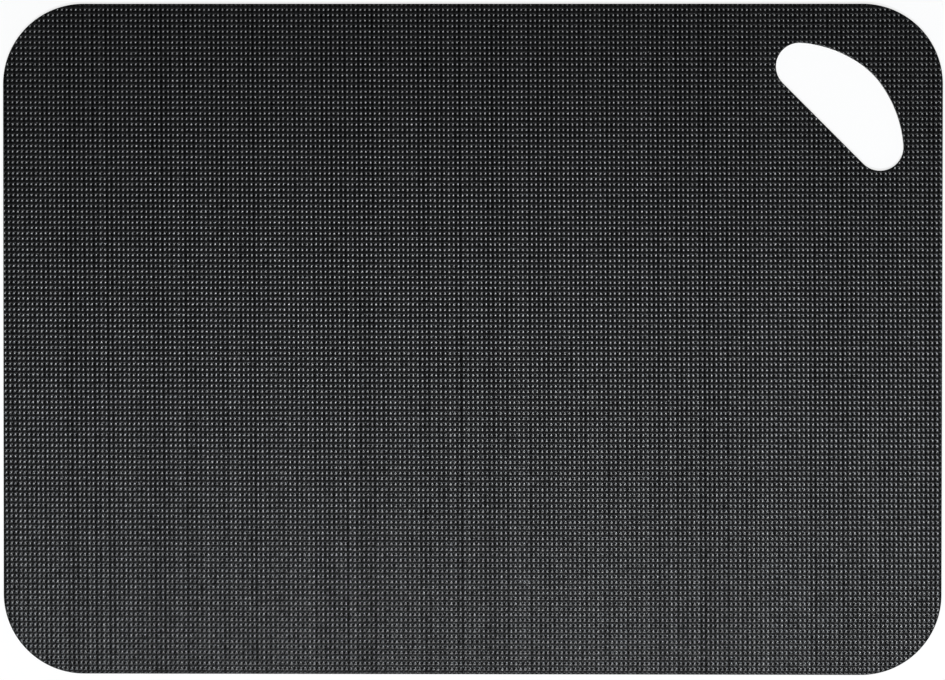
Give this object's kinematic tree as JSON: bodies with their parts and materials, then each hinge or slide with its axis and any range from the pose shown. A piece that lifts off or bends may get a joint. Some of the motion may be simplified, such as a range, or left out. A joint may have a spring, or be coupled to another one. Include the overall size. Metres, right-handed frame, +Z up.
{
  "type": "flexible cutting mat",
  "caption": "Thin flexible kitchen cutting mat with rounded corners, a dimpled black cutting face bonded to a soft non-slip backing, and a half-moon hand hole across a corner.",
  "frame": {"origin": "middle of the underside, where the mat lies on the worktop", "axes": "+X along the long side, +Y towards the long side nearer the hand hole, +Z up out of the cutting face; the hand hole is in the +X +Y corner"},
  "size_m": [0.35, 0.25, 0.002],
  "materials": {
    "cutting_face": "satin black with a fine dimpled texture",
    "grip_backing": "matte black, slightly tacky"
  },
  "bodies": {
    "root": {"cutting_sheet": "cutting_face", "non_slip_backing": "grip_backing"}
  },
  "joints": []
}
